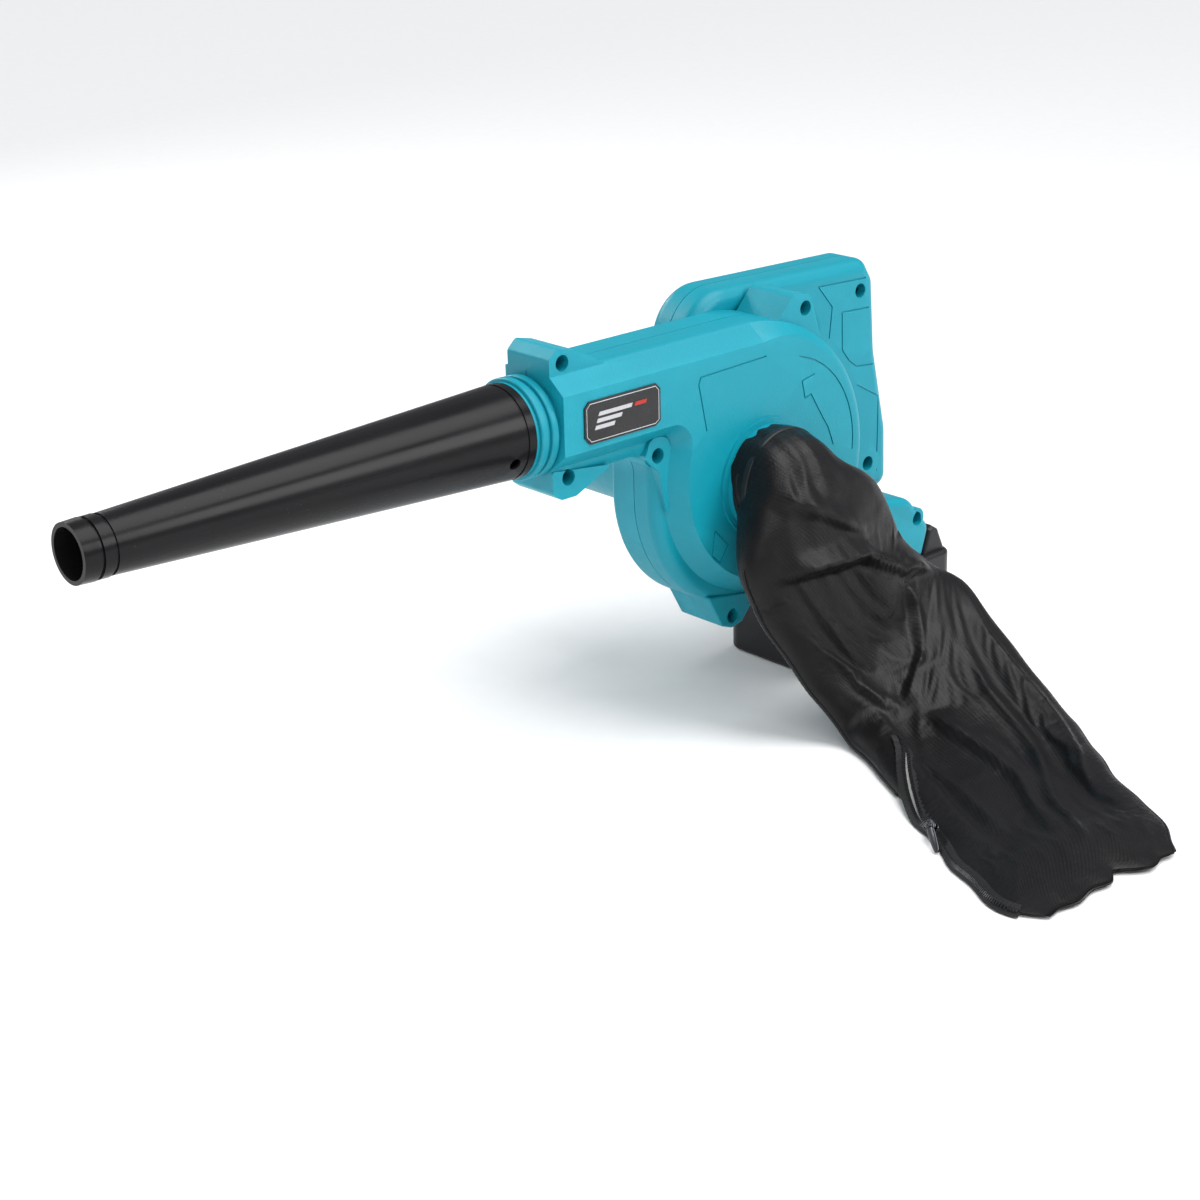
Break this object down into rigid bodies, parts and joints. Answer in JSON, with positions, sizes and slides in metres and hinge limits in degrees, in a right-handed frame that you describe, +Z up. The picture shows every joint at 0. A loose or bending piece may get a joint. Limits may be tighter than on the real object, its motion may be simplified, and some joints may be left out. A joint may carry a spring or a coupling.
{
  "type": "cordless leaf blower",
  "caption": "Hand-held cordless leaf blower with a long tapered nozzle, scroll fan housing, D-shaped handle, slide-on battery and a limp dust bag on its intake.",
  "frame": {"origin": "middle of the battery's flat underside, on which the blower stands", "axes": "+X to the rear (the nozzle points to -X), +Z up, -Y towards the intake and dust bag"},
  "size_m": [0.573, 0.4007, 0.2337],
  "materials": {
    "housing_teal": "moulded satin teal ABS with fine texture",
    "nozzle_black": "semi-gloss black polyethylene",
    "label_grey": "dark grey foil label, blank",
    "black_plastic": "textured black nylon plastic",
    "battery_black": "moulded black plastic",
    "steel": "turned or stamped steel",
    "screw_steel": "blackened steel",
    "magnet": "sintered ferrite",
    "copper": "enamelled copper",
    "brass": "brass",
    "carbon": "carbon brush",
    "cell": "shrink-wrapped cell",
    "board": "green circuit board with black parts",
    "lead_wire": "red silicone wire",
    "fan_plastic": "black glass-filled plastic",
    "bag_cloth": "thin black woven nylon with a sheen"
  },
  "bodies": {
    "housing": {"fan_cover": "housing_teal", "center_housing": "housing_teal", "motor_housing": "housing_teal", "motor_end_cap": "housing_teal", "outlet_collar": "housing_teal", "label_plate": "label_grey", "cover_screws": "screw_steel", "handle_screws": "screw_steel", "motor_plate": "steel", "motor_screws": "steel", "motor_can": "steel", "motor_magnets": "magnet", "motor_bearings": "steel", "motor_end_bell": "black_plastic", "brushes": "carbon", "battery_rails": "black_plastic", "terminal_block": "black_plastic", "terminal_blades": "brass", "switch_body": "black_plastic", "control_board": "board", "switch_leads": "lead_wire", "trigger_spring": "steel"},
    "rotor": {"rotor_shaft": "steel", "armature": "steel", "windings": "copper", "commutator": "copper", "impeller": "fan_plastic", "impeller_nut": "steel"},
    "nozzle": {"nozzle": "nozzle_black"},
    "trigger": {"trigger": "black_plastic"},
    "lock_button": {"lock_button": "black_plastic"},
    "battery": {"battery_bottom_case": "battery_black", "battery_top_case": "battery_black", "battery_cells": "cell", "cell_links": "steel", "battery_contacts": "brass", "battery_screws": "screw_steel", "release_spring": "steel"},
    "release_button": {"release_button": "black_plastic"},
    "dust_bag": {"bag_neck": "black_plastic", "bag_band": "black_plastic", "dust_bag": "bag_cloth"}
  },
  "joints": [
    {"name": "rotor_spin", "type": "hinge", "parent": "housing", "child": "rotor", "pos_m": [-0.109, -0.014, 0.137], "axis": [0, 1, 0], "continuous": true},
    {"name": "trigger_pull", "type": "slide", "parent": "housing", "child": "trigger", "axis": [0, 0, 1], "range_m": [0, 0.005], "stiffness_N_per_m": 400, "deforming": ["trigger_spring"]},
    {"name": "lock_press", "type": "slide", "parent": "housing", "child": "lock_button", "axis": [0, -1, 0], "range_m": [0, 0.0025], "stiffness_N_per_m": 300},
    {"name": "battery_slide", "type": "slide", "parent": "housing", "child": "battery", "axis": [1, 0, 0], "range_m": [0, 0.09]},
    {"name": "release_press", "type": "slide", "parent": "battery", "child": "release_button", "axis": [0, 0, -1], "range_m": [0, 0.004], "stiffness_N_per_m": 600, "deforming": ["release_spring"]},
    {"name": "nozzle_pull", "type": "slide", "parent": "housing", "child": "nozzle", "axis": [-1, 0, 0], "range_m": [0, 0.04]},
    {"name": "bag_pull", "type": "slide", "parent": "housing", "child": "dust_bag", "axis": [0, -1, 0], "range_m": [0, 0.03]}
  ]
}
